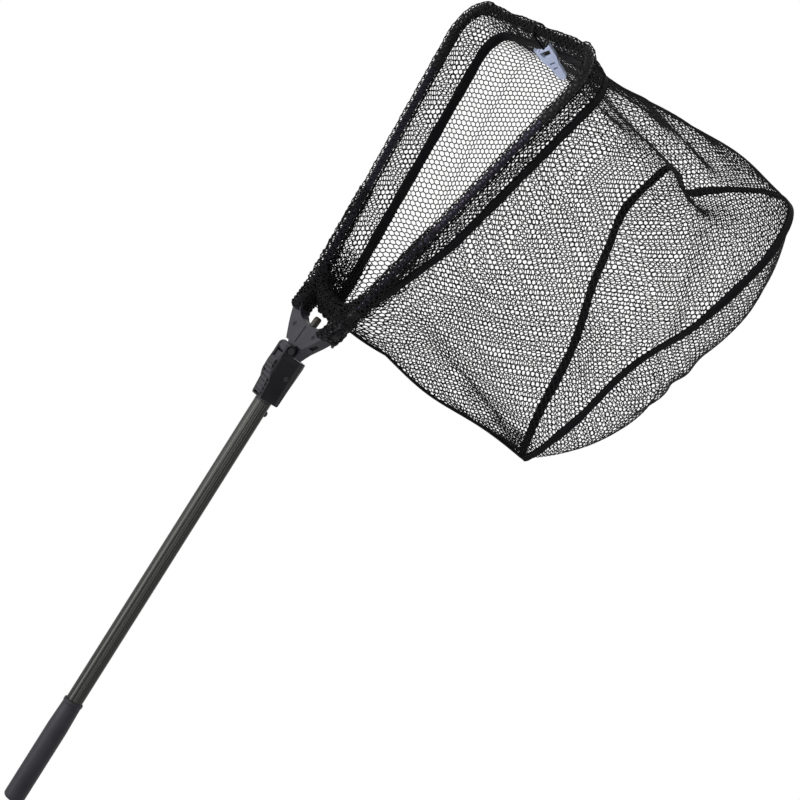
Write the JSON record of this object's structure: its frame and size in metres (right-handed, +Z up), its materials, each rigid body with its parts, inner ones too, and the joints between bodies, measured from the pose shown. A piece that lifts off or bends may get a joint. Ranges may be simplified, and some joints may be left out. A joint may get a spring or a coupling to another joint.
{
  "type": "landing net",
  "caption": "Folding landing net: rubber grip on a telescopic fluted handle, latching fold collar, fork, triangular hoop of hinged arms, deep mesh bag and stow clip.",
  "frame": {"origin": "middle of the grip's straight part, on the handle's axis", "axes": "+X along the handle towards the hoop, +Y across the hoop, +Z up on the latch lever's side; the bag hangs towards -Z"},
  "size_m": [1.0239, 0.3074, 0.4552],
  "materials": {
    "grip_rubber": "soft moulded rubber, matt",
    "tube_alloy": "anodised gunmetal, fluted",
    "inner_alloy": "anodised, plain",
    "arm_alloy": "anodised, purple-grey sheen",
    "black_plastic": "moulded, fine grain",
    "fork_plastic": "moulded, dark grey",
    "clip_plastic": "moulded, pale blue-grey",
    "steel": "plain",
    "mesh": "knitted polyester net",
    "tape": "woven black tape",
    "cord": "braided black cord"
  },
  "bodies": {
    "handle": {"grip": "grip_rubber", "outer_tube": "tube_alloy", "mouth_bush": "black_plastic", "button_spring": "steel"},
    "button": {"snap_button": "black_plastic"},
    "stage": {"inner_tube": "inner_alloy", "slide_bush": "black_plastic", "collar": "black_plastic", "collar_pin": "steel", "lever_pin": "steel", "lever_spring": "steel", "fold_pin": "steel"},
    "lever": {"latch_lever": "black_plastic"},
    "head": {"fork": "fork_plastic", "fork_cover": "fork_plastic", "fork_screws": "steel", "left_pivot_pin": "steel", "right_pivot_pin": "steel", "plunger_spring": "steel", "front_cord": "cord", "front_sleeve": "mesh", "left_wall": "mesh", "right_wall": "mesh", "end_wall": "mesh", "belly_panel": "mesh", "seam_tape": "tape", "hem_tape": "tape", "apex_tape": "tape"},
    "plunger": {"plunger": "black_plastic"},
    "left_arm": {"left_socket": "black_plastic", "left_arm_tube": "arm_alloy", "left_elbow": "black_plastic", "left_rivets": "steel", "left_sleeve": "mesh"},
    "right_arm": {"right_socket": "black_plastic", "right_arm_tube": "arm_alloy", "right_elbow": "black_plastic", "right_rivets": "steel", "right_sleeve": "mesh"},
    "clip": {"clip_strap": "tape", "stow_clip": "clip_plastic"}
  },
  "joints": [
    {"name": "handle_extend", "type": "slide", "parent": "handle", "child": "stage", "axis": [1, 0, 0], "range_m": [0, 0.29]},
    {"name": "button_press", "type": "slide", "parent": "handle", "child": "button", "axis": [0, 0, 1], "range_m": [0, 0.0015], "stiffness_N_per_m": 800, "deforming": ["button_spring"]},
    {"name": "lever_press", "type": "hinge", "parent": "stage", "child": "lever", "pos_m": [0.506, 0, 0.014], "axis": [0, -1, 0], "range_deg": [0, 3.5], "stiffness_Nm_per_rad": 1.2, "deforming": ["lever_spring"]},
    {"name": "hoop_fold", "type": "hinge", "parent": "stage", "child": "head", "pos_m": [0.532, 0, 0.01], "axis": [0, -1, 0], "range_deg": [0, 150]},
    {"name": "plunger_push", "type": "slide", "parent": "head", "child": "plunger", "axis": [-0.9962, 0, 0.0872], "range_m": [0, 0.006], "stiffness_N_per_m": 400, "deforming": ["plunger_spring"]},
    {"name": "left_arm_fold", "type": "hinge", "parent": "head", "child": "left_arm", "pos_m": [0.57496, 0.05, -0.0038], "axis": [-0.0872, 0, -0.9962], "range_deg": [0, 13], "deforming": ["front_cord", "front_sleeve"]},
    {"name": "right_arm_fold", "type": "hinge", "parent": "head", "child": "right_arm", "pos_m": [0.57496, -0.05, -0.0038], "axis": [0.0872, 0, 0.9962], "range_deg": [0, 13]},
    {"name": "clip_swing", "type": "hinge", "parent": "head", "child": "clip", "pos_m": [0.96647, 0, -0.03805], "axis": [0, 1, 0], "range_deg": [0, 60]}
  ],
  "couplings": [
    {"joint": "right_arm_fold", "follows": "left_arm_fold", "ratio": 1}
  ]
}
